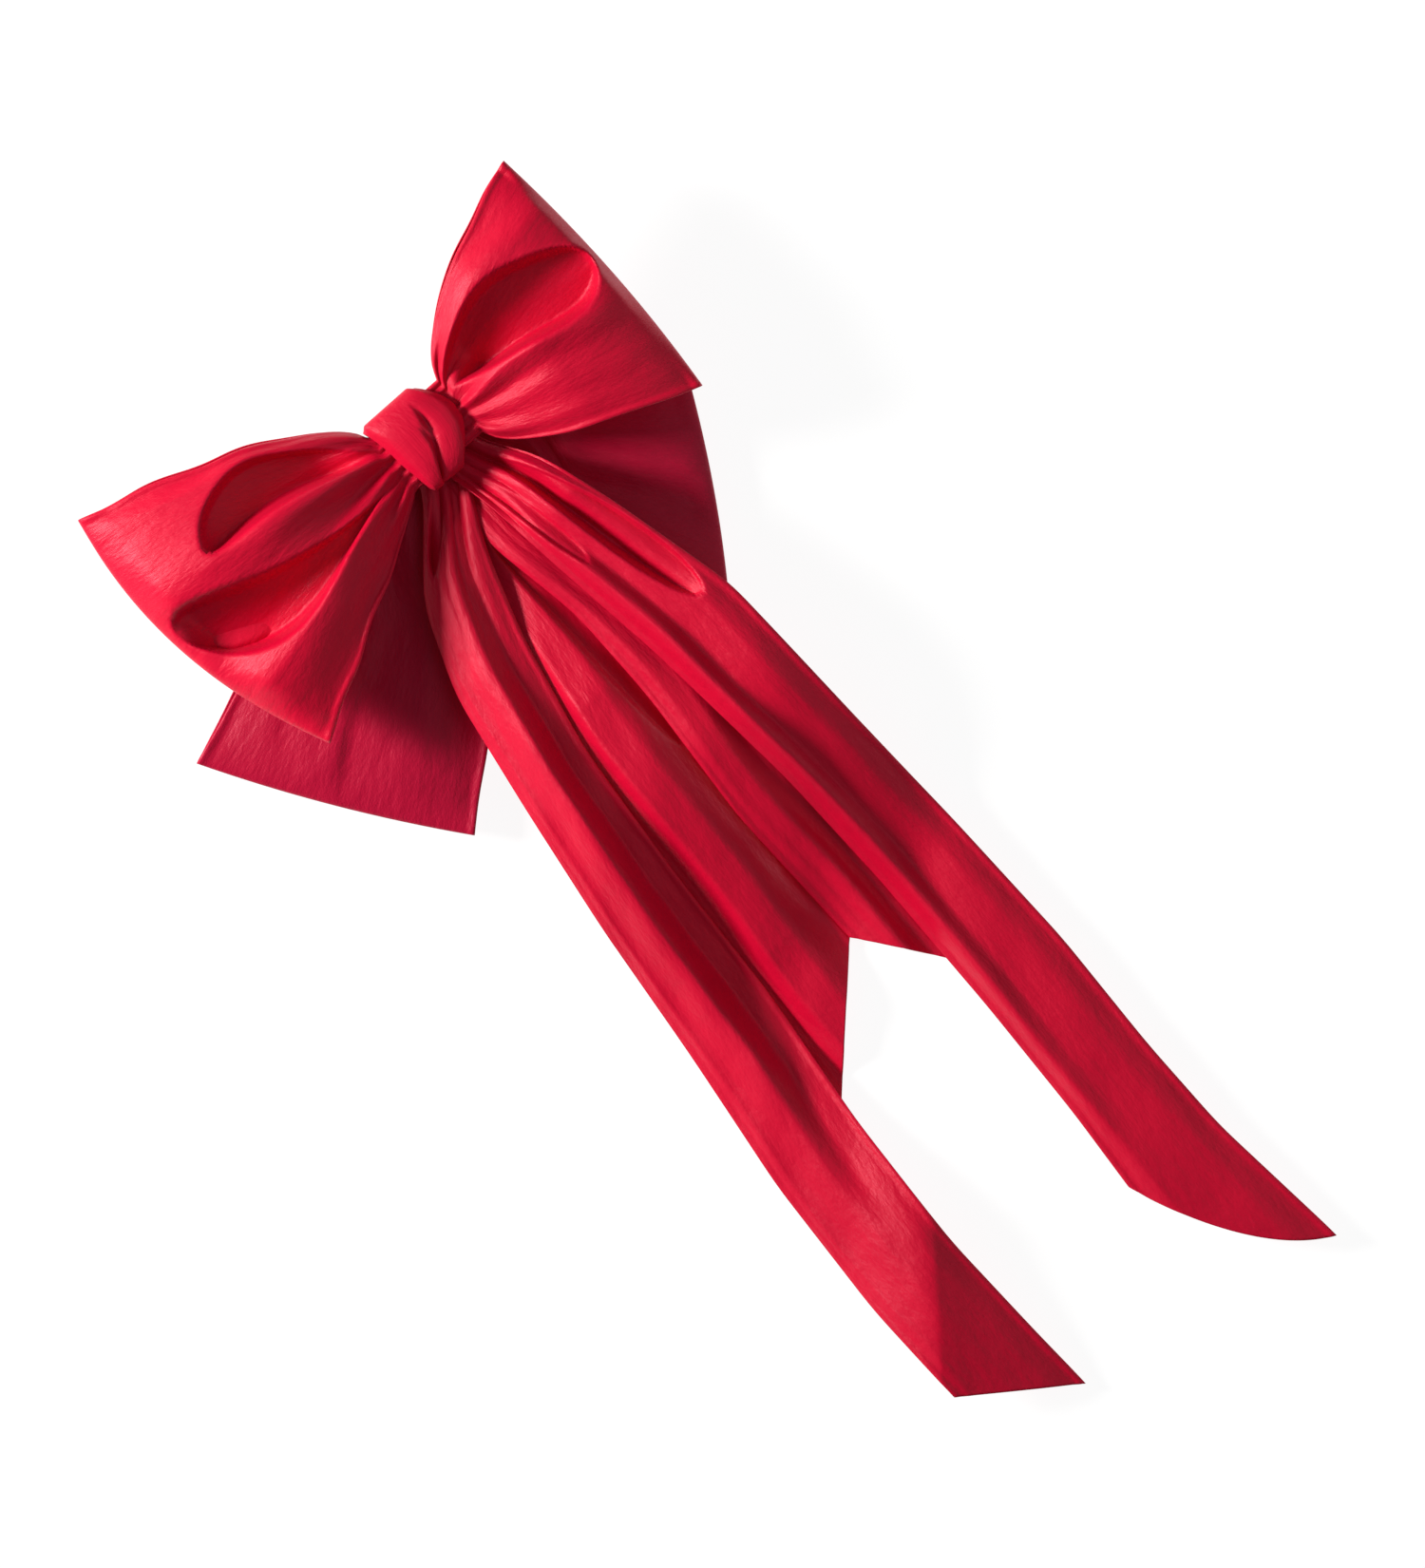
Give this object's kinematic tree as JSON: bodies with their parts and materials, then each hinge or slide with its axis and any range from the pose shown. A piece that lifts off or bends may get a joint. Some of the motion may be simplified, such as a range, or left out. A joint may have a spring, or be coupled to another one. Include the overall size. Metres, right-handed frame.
{
  "type": "hair bow",
  "caption": "Two-tier red satin hair bow with a knotted centre, long and short slanted ribbon tails, and a hinged spring barrette clip behind it",
  "frame": {"origin": "on the outer face of the clasp arm, straight below the middle of the knot, where the clip rests on a table", "axes": "+X along the bow from its left loops to its right loops, +Y away from the tails, +Z out of the bow's face"},
  "size_m": [0.2091, 0.4471, 0.0529],
  "materials": {
    "red_satin": "smooth satin with a soft sheen",
    "deep_red_satin": "satin, shaded rear tier",
    "red_felt": "pressed felt, dull",
    "red_thread": "twisted polyester thread",
    "bright_steel": "nickel-plated, satin",
    "spring_steel": "plated spring steel"
  },
  "bodies": {
    "bow": {"barrette_base_plate": "bright_steel", "barrette_hinge_pin": "bright_steel", "barrette_strip_rivet": "bright_steel", "barrette_tension_strip": "spring_steel", "backing_felt": "red_felt", "clip_stitch_left": "red_thread", "clip_stitch_right": "red_thread", "stitch_shank": "red_thread", "rear_bow_ring": "deep_red_satin", "front_bow_ring": "red_satin", "knot_wrap": "red_satin"},
    "clasp_arm": {"barrette_clasp_arm": "bright_steel"},
    "prong_front": {"catch_prong_front": "spring_steel"},
    "prong_rear": {"catch_prong_rear": "spring_steel"},
    "long_left": {"tail_long_left": "red_satin"},
    "long_right": {"tail_long_right": "red_satin"},
    "short_left": {"tail_short_left": "red_satin"},
    "short_right": {"tail_short_right": "red_satin"}
  },
  "joints": [
    {"name": "clasp_open", "type": "hinge", "parent": "bow", "child": "clasp_arm", "pos_m": [-0.037, 0, 0.00195], "axis": [0, 1, 0], "range_deg": [0, 65]},
    {"name": "prong_front_squeeze", "type": "hinge", "parent": "bow", "child": "prong_front", "pos_m": [0.036, -0.0015, 0.0079], "axis": [1, 0, 0], "range_deg": [0, 5], "stiffness_Nm_per_rad": 0.02},
    {"name": "prong_rear_squeeze", "type": "hinge", "parent": "bow", "child": "prong_rear", "pos_m": [0.036, 0.0015, 0.0079], "axis": [-1, 0, 0], "range_deg": [0, 5], "stiffness_Nm_per_rad": 0.02},
    {"name": "long_left_sway", "type": "hinge", "parent": "bow", "child": "long_left", "pos_m": [0, 0, 0.0205], "axis": [0, 0, 1], "range_deg": [-18, 12]},
    {"name": "short_left_sway", "type": "hinge", "parent": "bow", "child": "short_left", "pos_m": [0, 0, 0.019], "axis": [0, 0, 1], "range_deg": [-18, 12]},
    {"name": "short_right_sway", "type": "hinge", "parent": "bow", "child": "short_right", "pos_m": [0, 0, 0.022], "axis": [0, 0, 1], "range_deg": [-12, 18]},
    {"name": "long_right_sway", "type": "hinge", "parent": "bow", "child": "long_right", "pos_m": [0, 0, 0.0235], "axis": [0, 0, 1], "range_deg": [-12, 18]}
  ]
}
